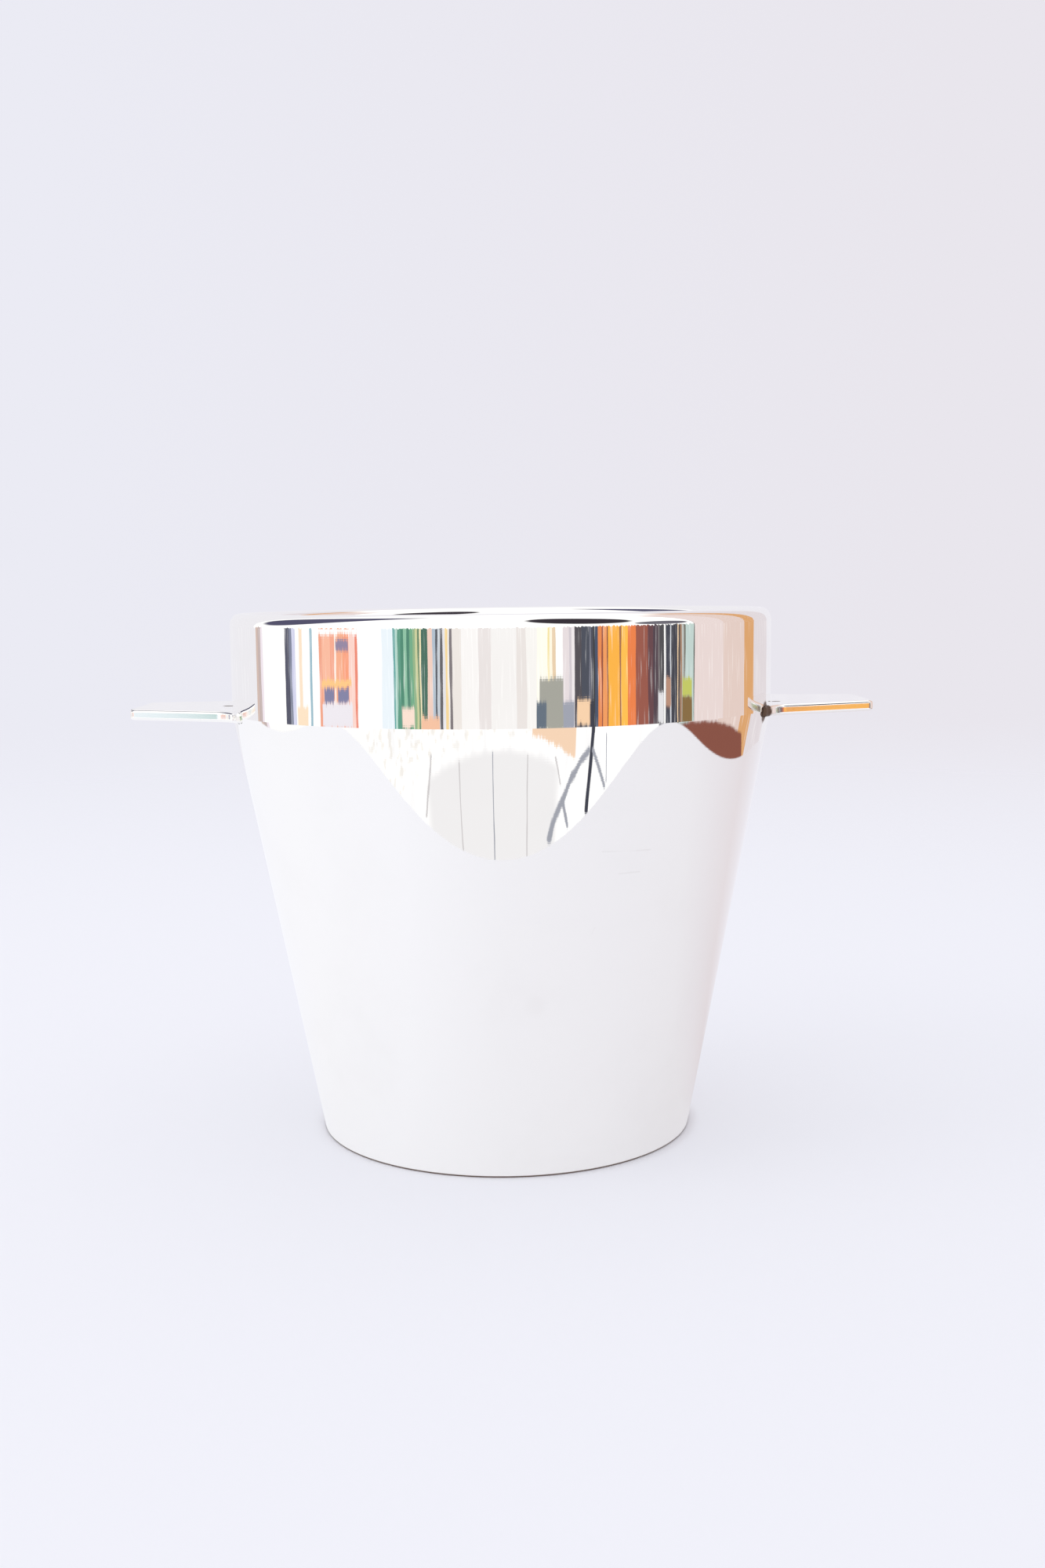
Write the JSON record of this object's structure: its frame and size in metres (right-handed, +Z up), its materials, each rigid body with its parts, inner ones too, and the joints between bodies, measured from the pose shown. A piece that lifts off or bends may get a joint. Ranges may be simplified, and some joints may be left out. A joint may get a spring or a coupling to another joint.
{
  "type": "champagne bucket",
  "caption": "Conical metal wine bucket with an upright collar, a thick rounded rim and a flat plate handle on each side.",
  "frame": {"origin": "middle of the foot's underside, on the surface that the bucket stands on", "axes": "+Z up along the bucket's axis, +X towards the right handle, +Y to the back"},
  "size_m": [0.2994, 0.22, 0.214],
  "materials": {
    "polished_silver": "mirror polished silver plate",
    "satin_silver": "satin silver plate"
  },
  "bodies": {
    "root": {"conical_wall": "polished_silver", "collar": "polished_silver", "rim_moulding": "polished_silver", "base_plate": "satin_silver", "handle_right": "polished_silver", "handle_left": "polished_silver"}
  },
  "joints": []
}
